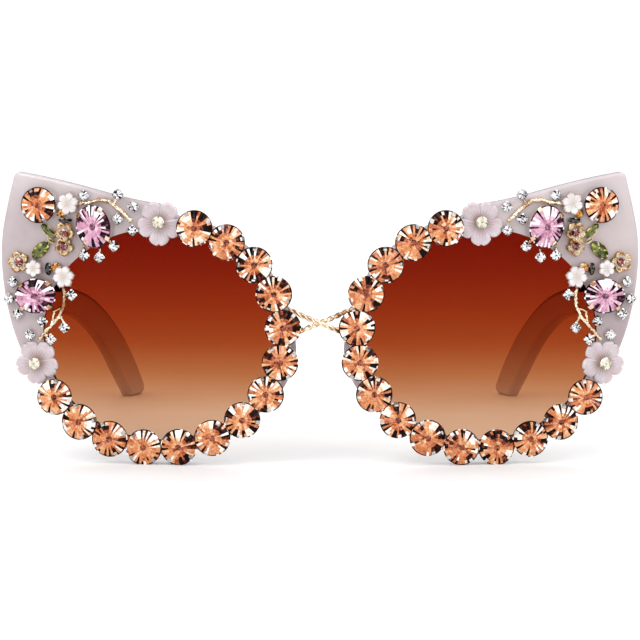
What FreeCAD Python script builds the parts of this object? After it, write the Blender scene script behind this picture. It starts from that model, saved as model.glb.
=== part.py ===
"""Cat eye sunglasses with crystal rims: one STEP per sub-part, in millimetres.

Axes: +Z up, the front faces -Y, and +X is the wearer's left. The sunglasses stand open on
z = 0 on the lowest crystal settings and the temple tips. Everything is drawn once for the
+X side, with u = distance from the midline, and mirrored for the wearer's right side.
Until the last step y = 0 is the foremost line of the plastic front; the finished pieces are
then moved along Y so that the origin is the bottom centre of the whole object.
"""

import FreeCAD as App
import Part
import math
import os

V = App.Vector

# ---- Driving dimensions -------------------------------------------------------------------
FRONT_RADIUS = 265.0        # the front is bent round a vertical cylinder of this radius
FRAME_THICKNESS = 3.4
EDGE_ROUND = 0.7            # rounding of the plastic edges

RING_U = 37.6               # centre of each eye ring, from the midline
RING_PATH = (29.2, 26.3)    # half axes of the line of crystal centres
OPENING = (27.4, 24.9)      # half axes of the lens opening
RIM_OUTER = (30.9, 28.0)    # half axes of the rim's outer edge
WING_TOP = [(36.8, 60.7), (41.5, 61.35), (46.4, 62.4), (54.0, 64.4), (62.0, 66.3), (71.4, 68.0)]
WING_SIDE = [(71.4, 68.0), (73.4, 60.0), (74.9, 51.0), (74.6, 42.0), (72.9, 33.0), (70.2, 25.5), (67.4, 20.5)]
WING_CORNERS = [((71.4, 68.0), 1.5), ((36.8, 60.7), 4.0)]   # (u, z) and rounding
RING_GEMS = 14              # round crystals set along each rim
FIRST_GEM_DEG = 107.5       # parametric angle of the first crystal, near the top
LAST_GEM_DEG = 325.7        # and of the last one, near the wing

SETTING_R = 4.22            # claw setting of the 8 mm crystals, measured over the claws
SETTING_FOOT_R = 2.6
CLAW_WIDTH = 0.8

LENS_THICKNESS = 1.8
LENS_SETBACK = 0.85         # from the front face to the lens groove
GROOVE_DEPTH = 0.9
GROOVE_PLAY = 0.05

TEMPLE_THICKNESS = 3.4
TEMPLE_INNER_U = 68.0       # inner face at the hinge
TEMPLE_START_Y = 15.1       # butt end, just behind the end piece
TEMPLE_END_HEIGHT = 12.0    # height of the butt end
TEMPLE_HEIGHT = 7.2         # height from the bend to the tip
TEMPLE_AXIS_Z = 42.6        # middle of the butt end
TEMPLE_SLOPE_DEG = 9.0      # the arm falls away from the front by this angle
BEND_Y = 102.2              # where the arm's back starts to turn down over the ear
BACK_RADIUS = 63.6          # of the arm's back over the ear
BELLY_Y = 93.7              # where its underside starts to turn down
BELLY_RADIUS = 58.0
BELLY_END_DEG = 45.0        # the underside then runs straight to the foot
HEEL_ROUND = 2.0
INWARD_Y = 58.0             # where the arm starts to curve in behind the head
INWARD_RADIUS = 214.0
TEMPLE_ROUND = 1.1

HINGE_U = 66.2              # hinge axis
HINGE_Y = 15.05
BARREL_R = 1.5
BARREL_GAP = 0.06           # end play between two barrels
BARREL_HEIGHT = 1.8
BARRELS = 5                 # three on the front, two on the temple
SCREW_R = 0.70
SCREW_HEAD_R = 1.2
SCREW_HEAD_HEIGHT = 0.7
FIXED_BORE_R = 0.72         # the screw is tight here
RUNNING_BORE_R = 0.75       # and turns here
PLATE_THICKNESS = 1.0
RIVET_R = 0.6
RIVET_HEAD_R = 0.85
RIVET_HEAD_HEIGHT = 0.35
FRONT_RIVET_DEPTH = 0.6       # the lens edge lies in front of these rivets

BRIDGE_WIRE_R = 0.48
BRIDGE_Y = 1.7              # middle of the plastic's thickness
BRIDGE_REACH = 8.6          # the wires end this far from the midline, inside the rims
BRIDGE_END_Z = (36.9, 29.7) # upper and lower ends
BRIDGE_CROSSING_Z = 33.0

OVAL_SCALE = (1.02, 1.27)   # an 8 x 10 mm oval is the round crystal and its cup, stretched
BLOSSOM_R = 5.1
ACCENT_R = 1.35             # small clear rhinestones in silver cups
UPPER_LEVEL = 1.6           # ornaments that lie over their neighbours start here

# Crystal cuts: girdle radius; heights of culet, back of girdle, girdle and table above the
# seat; number of facets round the edge; size of the table against the girdle.
RING_CUT = {"r": 4.0, "culet": 0.35, "back": 2.05, "girdle": 2.17, "top": 3.05, "sides": 8, "table": 0.56}
ACCENT_CUT = {"r": 1.16, "culet": 0.25, "back": 0.87, "girdle": 0.97, "top": 1.45, "sides": 6, "table": 0.5}

# ---- Layout of the ornaments: (u, z, turn in degrees) -------------------------------------
CORNER_GEM = (65.2, 60.3)
OVALS = [(52.3, 55.4, -14.0), (66.1, 39.0, 86.0)]
BLOSSOMS = [(37.2, 56.6, 54.0), (66.5, 23.1, 22.0)]
PEARL_FLOWERS = [(58.3, 60.6, 2.45, 10.0), (59.6, 43.6, 2.6, 40.0), (66.5, 45.4, 1.85, 0.0)]
GOLD_FLOWERS = [
    (59.1, 54.0, 2.2, 20.0, 1.1),
    (59.6, 50.7, 2.1, 50.0, 0.0),
    (70.4, 46.8, 2.4, 0.0, 0.0),
]
LEAVES = [(63.4, 54.2, 45.0, 4.7, 2.1), (65.3, 49.7, 136.0, 5.4, 3.1), (62.8, 51.95, 34.0, 2.2, 0.9)]
AMBER = [(60.3, 58.45, 1.1), (61.6, 45.7, 1.15)]
NAVETTES = [(59.4, 56.8, 0.0, 3.2, 1.1), (63.6, 45.3, 90.0, 3.0, 1.3)]
ACCENTS_ON_WING = [
    (54.8, 62.6), (43.2, 60.1), (46.9, 57.2), (43.4, 54.6), (71.9, 42.1),
    (72.9, 38.1), (70.9, 34.6), (64.9, 33.0), (68.0, 29.7),
]
ACCENTS_ON_STEMS = [
    (46.6, 62.9), (47.6, 50.9), (54.6, 48.7), (51.0, 48.3), (57.6, 39.4), (59.4, 31.7), (62.6, 28.9),
]
STEM_ROUTES = [
    [(48.0, 60.5), (46.6, 62.9)],
    [(48.9, 51.9), (47.6, 50.9)],
    [(55.0, 50.2), (54.6, 48.7)],
    [(51.2, 50.0), (51.0, 48.3)],
    [(59.5, 39.4), (57.6, 39.4)],
    [(60.6, 34.0), (59.4, 31.7)],
    [(64.7, 29.9), (62.6, 28.9)],
]
UPPER_TWIG = [(56.6, 60.7), (53.6, 60.9), (51.2, 61.6), (49.0, 61.3), (46.0, 58.9), (44.0, 57.0)]
LOWER_TWIG = [(60.2, 41.8), (59.7, 39.8), (59.9, 36.6), (61.2, 33.8), (64.0, 30.8), (65.6, 28.9)]
SIDE_TWIG = [(60.1, 36.4), (62.2, 35.4), (62.7, 32.8)]
TWIG_R = 0.42
STEM_R = 0.3
KNOT = 1.2                  # joints of the twigs are this much thicker
ACCENT_STEM_LIFT = 2 * STEM_R * KNOT


# ---- Places on the curved front -----------------------------------------------------------
def front_y(u):
    """Depth of the front face at distance u from the midline."""
    return FRONT_RADIUS - math.sqrt(FRONT_RADIUS ** 2 - u ** 2)


def on_front(u, z, turn=0.0, lift=0.0):
    """Placement whose local +Z leaves the front face at (u, z) and whose local +Y is up."""
    bend = math.degrees(math.asin(u / FRONT_RADIUS))
    rotation = App.Rotation(V(0, 0, 1), bend) * App.Rotation(V(1, 0, 0), 90.0)
    normal = rotation.multVec(V(0, 0, 1))
    spot = V(u, front_y(u), z) + normal * lift
    return App.Placement(spot, rotation * App.Rotation(V(0, 0, 1), turn))


def placed(shape, placement):
    """A copy of shape at placement, with the move baked into its geometry."""
    moved = shape.copy()
    moved.transformShape(placement.toMatrix(), True)
    return moved


def fused(shapes):
    """One solid from overlapping shapes, with the seams between them removed."""
    whole = shapes[0] if len(shapes) == 1 else shapes[0].multiFuse(shapes[1:])
    return whole.removeSplitter()


def ring_point(degrees):
    """(u, z offset from the ring's centre) on the line of crystal centres."""
    a = math.radians(degrees)
    return RING_U + RING_PATH[0] * math.cos(a), RING_PATH[1] * math.sin(a)


def ring_gem_angles():
    """Parametric angles that space the crystals evenly along the ring."""
    steps = 2000
    span = LAST_GEM_DEG - FIRST_GEM_DEG
    angles = [FIRST_GEM_DEG + span * i / steps for i in range(steps + 1)]
    spots = [ring_point(a) for a in angles]
    lengths = [0.0]
    for here, there in zip(spots, spots[1:]):
        lengths.append(lengths[-1] + math.dist(here, there))
    wanted = [lengths[-1] * k / (RING_GEMS - 1) for k in range(RING_GEMS)]
    return [angles[min(range(steps + 1), key=lambda i: abs(lengths[i] - w))] for w in wanted]


GEM_ANGLES = ring_gem_angles()
# The ring stands so high that its lowest crystal just touches the table.
RING_Z = RING_CUT["r"] - min(ring_point(a)[1] for a in GEM_ANGLES)


# ---- Plain solids -------------------------------------------------------------------------
def ellipse_prism(half_u, half_z):
    """Elliptic prism along Y through the whole front, round the ring's centre."""
    major, minor = max(half_u, half_z), min(half_u, half_z)
    curve = Part.Ellipse(V(0, 0, 0), major, minor)
    face = Part.Face(Part.Wire([curve.toShape()]))
    face.rotate(V(0, 0, 0), V(1, 0, 0), 90)
    face.translate(V(RING_U, -20, RING_Z))
    return face.extrude(V(0, 60, 0))


def front_shell(outer_setback, inner_setback):
    """The part of the bent front between two depths behind its front face."""
    base, height = V(0, FRONT_RADIUS, -20), 120
    outer = Part.makeCylinder(FRONT_RADIUS - outer_setback, height, base)
    inner = Part.makeCylinder(FRONT_RADIUS - inner_setback, height, base)
    block = Part.makeBox(90, 30, height, V(0, -5, -20))
    return outer.cut(inner).common(block)


def prism(points, placement, height):
    """Straight-sided solid on a closed outline of local (x, y) points."""
    outline = [V(x, y, 0) for x, y in points]
    face = Part.Face(Part.makePolygon(outline + outline[:1]))
    return placed(face.extrude(V(0, 0, height)), placement)


def faceted(corners, faces):
    """Closed solid from corner points and lists of corner names, one list per flat facet."""
    shells = []
    for names in faces:
        loop = [corners[n] for n in names]
        shells.append(Part.Face(Part.makePolygon(loop + loop[:1])))
    solid = Part.makeSolid(Part.makeShell(shells))
    if solid.Volume < 0:
        solid.reverse()
    return solid


def brilliant(cut):
    """Brilliant-cut crystal: table, star, kite and girdle facets over a pointed back."""
    sides, table = cut["sides"], cut["table"]
    half_step = math.pi / sides
    star, pavilion = 0.80, 0.45
    crown_height = cut["top"] - cut["girdle"]
    star_z = cut["top"] - (star * math.cos(half_step) - table) * crown_height / (1.0 - table)
    pavilion_z = cut["culet"] + pavilion * math.cos(half_step) * (cut["back"] - cut["culet"])

    def point(fraction, step, z):
        radius = cut["r"] * fraction
        return V(radius * math.cos(step * half_step), radius * math.sin(step * half_step), z)

    corners = {"culet": V(0, 0, cut["culet"])}
    for k in range(2 * sides):
        corners["g", k] = point(1.0, k, cut["girdle"])
        corners["b", k] = point(1.0, k, cut["back"])
    for k in range(sides):
        corners["t", k] = point(table, 2 * k, cut["top"])
        corners["s", k] = point(star, 2 * k + 1, star_z)
        corners["p", k] = point(pavilion, 2 * k + 1, pavilion_z)

    faces = [[("t", k) for k in range(sides)]]
    for k in range(sides):
        after, before = (k + 1) % sides, (k - 1) % sides
        g0, g1, g2 = 2 * k, 2 * k + 1, (2 * k + 2) % (2 * sides)
        faces.append([("t", k), ("t", after), ("s", k)])
        faces.append([("t", k), ("s", before), ("g", g0), ("s", k)])
        faces.append([("s", k), ("g", g0), ("g", g1)])
        faces.append([("s", k), ("g", g1), ("g", g2)])
        faces.append([("g", g0), ("g", g1), ("b", g1), ("b", g0)])
        faces.append([("g", g1), ("g", g2), ("b", g2), ("b", g1)])
        faces.append([("p", k), ("b", g0), ("b", g1)])
        faces.append([("p", k), ("b", g1), ("b", g2)])
        faces.append(["culet", ("p", before), ("b", g0), ("p", k)])
    return faceted(corners, faces)


def low_cut(radius, height):
    """Cut of a small foiled stone that is cemented straight on its base."""
    return {"r": radius, "culet": 0.0, "back": height * 0.1, "girdle": height * 0.55, "top": height,
            "sides": 6, "table": 0.5}


def stretched(shape, scale_x, scale_y):
    matrix = App.Matrix()
    matrix.scale(V(scale_x, scale_y, 1.0))
    return shape.transformGeometry(matrix)


def claw_setting(cut, radius, foot, claw_width, play=0.03):
    """Metal basket behind the given crystal, with four claws that reach out and over its crown."""
    seat_r, pocket_foot = cut["r"] + play, cut["culet"] - 4 * play
    slope = (cut["back"] - pocket_foot) / seat_r
    height = cut["back"] * 0.72
    basket = Part.makeCone(foot, cut["r"] * 0.87, height)
    basket = basket.cut(Part.makeCone(0.0, seat_r, cut["back"] - pocket_foot, V(0, 0, pocket_foot)))
    grip_r = cut["r"] * 0.84
    grip_z = cut["girdle"] + 0.16 / (1.0 - cut["table"]) * (cut["top"] - cut["girdle"]) + play
    lip = 0.09 * radius
    inner_r = cut["r"] * 0.78
    outline = [V(inner_r, 0, height * 0.45), V(radius, 0, cut["back"] * 0.85),
               V(radius, 0, cut["girdle"] + lip / 2), V(grip_r + lip, 0, grip_z + lip),
               V(grip_r, 0, grip_z + lip), V(grip_r, 0, grip_z),
               V(seat_r, 0, cut["girdle"] + play), V(seat_r, 0, cut["back"] - play),
               V(inner_r, 0, pocket_foot + slope * inner_r - 2 * play)]
    prongs = []
    for k in range(4):
        prong = Part.Face(Part.makePolygon(outline + outline[:1])).extrude(V(0, claw_width, 0))
        prong.translate(V(0, -claw_width / 2, 0))
        prong.rotate(V(0, 0, 0), V(0, 0, 1), 45.0 + 90.0 * k)
        prongs.append(prong)
    return fused([basket] + prongs)


# ---- Front: plastic, lens, nose pad, bridge -------------------------------------------------
def smooth_edge(points):
    """One curved edge through (u, z) points."""
    curve = Part.BSplineCurve()
    curve.interpolate([V(u, 0, z) for u, z in points])
    return curve.toShape()


def wing_outline():
    """Outline of the cat eye wing; its inner corner lies inside the lens opening."""
    shoulder, tail = (V(u, 0, z) for u, z in (WING_TOP[0], WING_SIDE[-1]))
    inside_top = V(29.0, 0, RING_Z + 25.2)
    inner_low, inner_high = V(52.0, 0, RING_Z - 4), V(38.0, 0, RING_Z + 10)
    return Part.Wire([
        Part.makeLine(inside_top, shoulder),
        smooth_edge(WING_TOP),
        smooth_edge(WING_SIDE),
        Part.makeLine(tail, inner_low),
        Part.makeLine(inner_low, inner_high),
        Part.makeLine(inner_high, inside_top),
    ])


def front_plate():
    """Ring and wing in one bent plate with rounded edges, before the lens opening is cut."""
    wing = Part.Face(wing_outline())
    wing.translate(V(0, -20, 0))
    plate = ellipse_prism(*RIM_OUTER).fuse(wing.extrude(V(0, 60, 0))).removeSplitter()
    for corner, radius in WING_CORNERS:
        upright = [e for e in plate.Edges if e.BoundBox.YLength > 50]
        nearest = min(upright, key=lambda e: math.dist((e.BoundBox.XMin, e.BoundBox.ZMin), corner))
        plate = plate.makeFillet(radius, [nearest])
    plate = plate.common(front_shell(0.0, FRAME_THICKNESS))
    return plate.makeFillet(EDGE_ROUND, [e for e in plate.Edges if lies_on_front_or_back(e)])


def lies_on_front_or_back(edge):
    middle = edge.valueAt((edge.FirstParameter + edge.LastParameter) / 2)
    depth = FRONT_RADIUS - math.hypot(middle.x, middle.y - FRONT_RADIUS)
    return min(abs(depth), abs(depth - FRAME_THICKNESS)) < 0.01


def end_piece():
    """Block behind the wing that the temple's butt end closes against."""
    depth = TEMPLE_START_Y - 0.1 - 11.0
    corner = V(TEMPLE_INNER_U - 0.1, 11.0, TEMPLE_AXIS_Z - TEMPLE_END_HEIGHT / 2)
    block = Part.makeBox(TEMPLE_THICKNESS + 0.7, depth, TEMPLE_END_HEIGHT, corner)
    upright = [e for e in block.Edges if abs(e.BoundBox.YLength - depth) < 1e-6 and e.BoundBox.XMin > 70]
    return block.makeFillet(1.0, upright)


def eye_frame(cutters):
    opened = front_plate().cut(ellipse_prism(*OPENING))
    groove = ellipse_prism(OPENING[0] + GROOVE_DEPTH, OPENING[1] + GROOVE_DEPTH).common(
        front_shell(LENS_SETBACK - GROOVE_PLAY, LENS_SETBACK + LENS_THICKNESS + GROOVE_PLAY))
    opened = opened.cut(groove).fuse(end_piece()).removeSplitter()
    for cutter in cutters:
        opened = opened.cut(cutter)
    return opened


def lens():
    edge = GROOVE_DEPTH - GROOVE_PLAY
    outline = ellipse_prism(OPENING[0] + edge, OPENING[1] + edge)
    return outline.common(front_shell(LENS_SETBACK, LENS_SETBACK + LENS_THICKNESS))


def nose_pad():
    """Half bean on the back of the rim, beside the nose."""
    a = math.radians(196.0)
    u = RING_U + (RING_PATH[0] + 0.5) * math.cos(a)
    z = RING_Z + (RING_PATH[1] + 0.5) * math.sin(a)
    pad = stretched(Part.makeSphere(1.0), 2.6, 7.6)
    tall = App.Matrix()
    tall.scale(V(1.0, 1.0, 6.8))
    pad = pad.transformGeometry(tall)
    rotation = App.Rotation(V(0, 0, 1), -14.0) * App.Rotation(V(0, 1, 0), -18.0)
    rotation = rotation * App.Rotation(V(1, 0, 0), 90.0)
    pad = placed(pad, App.Placement(V(u, front_y(u) + FRAME_THICKNESS, z), rotation))
    behind = Part.makeCylinder(FRONT_RADIUS - FRAME_THICKNESS, 120, V(0, FRONT_RADIUS, -20))
    return pad.common(behind)


def bridge():
    """Two gold wires that cross between the rims and are soldered where they meet."""
    wires = []
    for side, depth in ((1, BRIDGE_Y - 0.3), (-1, BRIDGE_Y + 0.3)):
        upper = V(-side * BRIDGE_REACH, BRIDGE_Y, BRIDGE_END_Z[0])
        lower = V(side * BRIDGE_REACH, BRIDGE_Y, BRIDGE_END_Z[1])
        path = Part.Wire([Part.Arc(upper, V(0, depth, BRIDGE_CROSSING_Z), lower).toShape()])
        start = path.Edges[0]
        tangent = start.tangentAt(start.FirstParameter)
        section = Part.Wire([Part.makeCircle(BRIDGE_WIRE_R, upper, tangent)])
        wires.append(path.makePipeShell([section], True, False))
    return fused(wires)


# ---- Hinges and temples ---------------------------------------------------------------------
HINGE_HEIGHT = BARRELS * BARREL_HEIGHT + (BARRELS - 1) * BARREL_GAP
HINGE_FOOT_Z = TEMPLE_AXIS_Z - HINGE_HEIGHT / 2


def barrel_foot(k):
    return HINGE_FOOT_Z + k * (BARREL_HEIGHT + BARREL_GAP)


def leaf(plate, arm_outline, numbers, bore_r):
    """Hinge leaf: a plate, and for each numbered barrel an arm that carries it."""
    pieces = [plate]
    for k in numbers:
        foot = barrel_foot(k)
        pieces.append(prism(arm_outline, App.Placement(V(0, 0, foot), App.Rotation()), BARREL_HEIGHT))
        pieces.append(Part.makeCylinder(BARREL_R, BARREL_HEIGHT, V(HINGE_U, HINGE_Y, foot)))
    bore = Part.makeCylinder(bore_r, HINGE_HEIGHT + 4, V(HINGE_U, HINGE_Y, HINGE_FOOT_Z - 2))
    return fused(pieces).cut(bore)


FRONT_PLATE_U = 63.5
FRONT_PLATE_HALF = 1.8
FRONT_PLATE_HEIGHT = 6.0
BACK_FACE = on_front(FRONT_PLATE_U, TEMPLE_AXIS_Z, 0.0, -FRAME_THICKNESS - 0.02)
FRONT_RIVETS = [(-0.2, -1.86), (-0.2, 1.86)]    # level with the gaps between the arms
TEMPLE_RIVET_Y = [20.6, 24.6]


def front_hinge():
    plate = Part.makeBox(2 * FRONT_PLATE_HALF, FRONT_PLATE_HEIGHT, PLATE_THICKNESS,
                         V(-FRONT_PLATE_HALF, -FRONT_PLATE_HEIGHT / 2, -PLATE_THICKNESS))
    plate = placed(plate, BACK_FACE)
    arm = [(63.2, 11.45), (64.6, 11.8), (67.2, 13.95), (66.2, 15.05), (64.9, 15.6), (62.8, 12.4)]
    solid = leaf(plate, arm, (0, 2, 4), FIXED_BORE_R)
    sink = Part.makeCylinder(SCREW_HEAD_R + 0.02, 3.0, V(HINGE_U, HINGE_Y, head_seat_z()))
    for spot in FRONT_RIVETS:
        solid = solid.cut(front_rivet(spot))
    return solid.cut(sink)


def front_rivet(spot):
    """Rivet set into the back of the wing, its head on the hinge plate."""
    x, y = spot
    shank = Part.makeCylinder(RIVET_R, FRONT_RIVET_DEPTH + PLATE_THICKNESS, V(x, y, -PLATE_THICKNESS))
    head = Part.makeCylinder(RIVET_HEAD_R, RIVET_HEAD_HEIGHT, V(x, y, -PLATE_THICKNESS - RIVET_HEAD_HEIGHT))
    rim = [e for e in head.Edges if e.BoundBox.ZMax < -PLATE_THICKNESS - RIVET_HEAD_HEIGHT / 2]
    return placed(fused([shank, head.makeFillet(0.25, rim)]), BACK_FACE)


def temple_hinge():
    plate = Part.makeBox(PLATE_THICKNESS, 9.0, 6.6, V(TEMPLE_INNER_U - 0.02 - PLATE_THICKNESS, 18.0,
                                                       TEMPLE_AXIS_Z - 3.3 - 0.4))
    arm = [(66.2, 15.05), (67.65, 15.3), (67.98, 18.6), (66.98, 18.6), (66.2, 16.4)]
    solid = leaf(plate, arm, (1, 3), RUNNING_BORE_R)
    for y in TEMPLE_RIVET_Y:
        solid = solid.cut(temple_rivet(y))
    return solid


def temple_rivet(y):
    """Rivet set into the temple's inner face, its head on the hinge plate."""
    z = TEMPLE_AXIS_Z - 0.4
    face_u = TEMPLE_INNER_U - 0.02 - PLATE_THICKNESS
    shank = Part.makeCylinder(RIVET_R, 2.2 + PLATE_THICKNESS, V(face_u, y, z), V(1, 0, 0))
    head = Part.makeCylinder(RIVET_HEAD_R, RIVET_HEAD_HEIGHT, V(face_u - RIVET_HEAD_HEIGHT, y, z), V(1, 0, 0))
    rim = [e for e in head.Edges if e.BoundBox.XMax < face_u - RIVET_HEAD_HEIGHT / 2]
    return fused([shank, head.makeFillet(0.25, rim)])


def head_seat_z():
    return HINGE_FOOT_Z + HINGE_HEIGHT - SCREW_HEAD_HEIGHT


def hinge_screw():
    foot = HINGE_FOOT_Z + 0.1
    shank = Part.makeCylinder(SCREW_R, head_seat_z() - foot, V(HINGE_U, HINGE_Y, foot))
    head = Part.makeCylinder(SCREW_HEAD_R, SCREW_HEAD_HEIGHT + 0.25, V(HINGE_U, HINGE_Y, head_seat_z()))
    top = [e for e in head.Edges if e.BoundBox.ZMin > head_seat_z() + 0.5]
    slot = Part.makeBox(4.0, 0.35, 1.0, V(HINGE_U - 2.0, HINGE_Y - 0.175, head_seat_z() + 0.5))
    return fused([shank, head.makeFillet(0.2, top)]).cut(slot)


def side_arc(start, radius, first_deg, last_deg):
    """Arc in the YZ plane that leaves start falling by first_deg and ends falling by last_deg."""
    first = math.radians(first_deg)
    centre = V(0, start.y - radius * math.sin(first), start.z - radius * math.cos(first))

    def spot(degrees):
        a = math.radians(degrees)
        return centre + V(0, radius * math.sin(a), radius * math.cos(a))

    return spot(last_deg), Part.Arc(start, spot((first_deg + last_deg) / 2), spot(last_deg)).toShape()


def temple_side_view():
    """Closed outline in the YZ plane, at X = 0, with a sharp heel, and the heel's corner."""
    fall = math.tan(math.radians(TEMPLE_SLOPE_DEG))
    half_start, half = TEMPLE_END_HEIGHT / 2, TEMPLE_HEIGHT / 2
    top = V(0, TEMPLE_START_Y, TEMPLE_AXIS_Z + half_start)
    bottom = V(0, TEMPLE_START_Y, TEMPLE_AXIS_Z - half_start)
    back_start = V(0, BEND_Y, TEMPLE_AXIS_Z - (BEND_Y - TEMPLE_START_Y) * fall + half)
    belly_start = V(0, BELLY_Y, TEMPLE_AXIS_Z - (BELLY_Y - TEMPLE_START_Y) * fall - half)
    back_deg = math.degrees(math.atan2(top.z - back_start.z, BEND_Y - TEMPLE_START_Y))
    belly_deg = math.degrees(math.atan2(bottom.z - belly_start.z, BELLY_Y - TEMPLE_START_Y))
    centre_z = back_start.z - BACK_RADIUS * math.cos(math.radians(back_deg))
    heel, back = side_arc(back_start, BACK_RADIUS, back_deg, math.degrees(math.acos(-centre_z / BACK_RADIUS)))
    toe, belly = side_arc(belly_start, BELLY_RADIUS, belly_deg, BELLY_END_DEG)
    toe_foot = V(0, toe.y + toe.z / math.tan(math.radians(BELLY_END_DEG)), 0)
    outline = Part.Wire([
        Part.makeLine(top, back_start),
        back,
        Part.makeLine(heel, toe_foot),
        Part.makeLine(toe_foot, toe),
        belly,
        Part.makeLine(belly_start, bottom),
        Part.makeLine(bottom, top),
    ])
    return outline, heel


def temple_top_view():
    """Closed outline in the XY plane, at Z = 0."""
    centre_u = TEMPLE_INNER_U - INWARD_RADIUS
    last_deg = 26.5

    def arc(radius, first, last):
        spots = []
        for d in (first, last_deg / 2, last):
            spots.append(V(centre_u + radius * math.cos(math.radians(d)),
                           INWARD_Y + radius * math.sin(math.radians(d)), 0))
        return spots[0], spots[2], Part.Arc(*spots).toShape()

    inner_start = V(TEMPLE_INNER_U, TEMPLE_START_Y, 0)
    outer_start = V(TEMPLE_INNER_U + TEMPLE_THICKNESS, TEMPLE_START_Y, 0)
    outer_bend, outer_end, outer = arc(INWARD_RADIUS + TEMPLE_THICKNESS, 0.0, last_deg)
    inner_end, inner_bend, inner = arc(INWARD_RADIUS, last_deg, 0.0)
    edges = [
        Part.makeLine(outer_start, outer_bend), outer, Part.makeLine(outer_end, inner_end), inner,
        Part.makeLine(inner_bend, inner_start), Part.makeLine(inner_start, outer_start),
    ]
    return Part.Wire(edges)


def temple():
    side_wire, heel = temple_side_view()
    side = Part.Face(side_wire).extrude(V(90, 0, 0))
    heel_edge = min(side.Edges, key=lambda e: e.CenterOfMass.distanceToPoint(heel + V(45, 0, 0)))
    side = side.makeFillet(HEEL_ROUND, [heel_edge])
    plan = Part.Face(temple_top_view()).extrude(V(0, 0, 90))
    arm = side.common(plan)
    long_edges = [e for e in arm.Edges if e.BoundBox.DiagonalLength > 4 and e.BoundBox.ZMax > 0.5
                  and e.BoundBox.YLength > 0.5 and e.BoundBox.YMin < heel.y - 4.5]
    arm = arm.makeFillet(TEMPLE_ROUND, long_edges)
    for y in TEMPLE_RIVET_Y:
        arm = arm.cut(temple_rivet(y))
    return arm


# ---- Ornaments ------------------------------------------------------------------------------
def ring_places():
    """Placements of the crystals along the rim and of the one in the wing's corner."""
    places = []
    for angle in GEM_ANGLES:
        u, dz = ring_point(angle)
        slope = math.degrees(math.atan2(RING_PATH[1] * math.cos(math.radians(angle)),
                                        -RING_PATH[0] * math.sin(math.radians(angle))))
        places.append(on_front(u, RING_Z + dz, slope))
    places.append(on_front(*CORNER_GEM, 20.0))
    return places


def flower(radius, thickness, turn_u_z, lift, petals=5):
    """Flat flower of overlapping round petals."""
    u, z, turn = turn_u_z
    petal_r = radius * 0.42
    offset = radius - petal_r
    discs = [Part.makeCylinder(radius * 0.45, thickness)]
    for k in range(petals):
        a = 2 * math.pi * k / petals
        disc = Part.makeCylinder(petal_r, thickness, V(offset * math.cos(a), offset * math.sin(a), 0))
        discs.append(disc)
    return placed(fused(discs), on_front(u, z, turn, lift))


def marquise(length, width, height, taper=0.0):
    """Pointed oval along local X; taper is how much the top is smaller than the foot."""
    def outline(scale, z):
        tip, side = V(length / 2 * scale, 0, z), V(0, width / 2 * scale, z)
        return Part.Wire([Part.Arc(-tip + V(0, 0, 2 * z), side, tip).toShape(),
                          Part.Arc(tip, V(0, -width / 2 * scale, z), -tip + V(0, 0, 2 * z)).toShape()])
    if not taper:
        return Part.Face(outline(1.0, 0.0)).extrude(V(0, 0, height))
    return Part.makeLoft([outline(1.0, 0.0), outline(1.0 - taper, height)], True)


def rod_chain(route, radius, lift):
    """Twig of straight rods with knots at the joints, laid along (u, z) points at one height."""
    spots = [on_front(u, z, 0.0, lift).Base for u, z in route]
    pieces = []
    for k, (u, z) in enumerate(route):
        # Each knot's seam points away from the rods that meet in it.
        ways = [math.atan2(v - z, w - u) for w, v in route[max(k - 1, 0):k] + route[k + 1:k + 2]]
        away = math.degrees(math.atan2(-sum(map(math.sin, ways)), -sum(map(math.cos, ways)))) + 7.0
        pieces.append(placed(Part.makeSphere(radius * KNOT), on_front(u, z, away, lift)))
    for here, there in zip(spots, spots[1:]):
        pieces.append(Part.makeCylinder(radius, (there - here).Length, here, there - here))
    return pieces[0].multiFuse(pieces[1:])


def twig(route, side_routes):
    """Cast gold twig with thinner side twigs and the stems that carry its rhinestones."""
    main = rod_chain(route, TWIG_R, TWIG_R * KNOT)
    return main.multiFuse([rod_chain(s, STEM_R, STEM_R * KNOT) for s in side_routes])


def accent_places():
    places = [on_front(u, z, 45.0) for u, z in ACCENTS_ON_WING]
    lift = ACCENT_STEM_LIFT + 0.1
    return places + [on_front(u, z, 45.0, lift) for u, z in ACCENTS_ON_STEMS]


def at_places(shape, places):
    return Part.makeCompound([placed(shape, p) for p in places])


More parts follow.
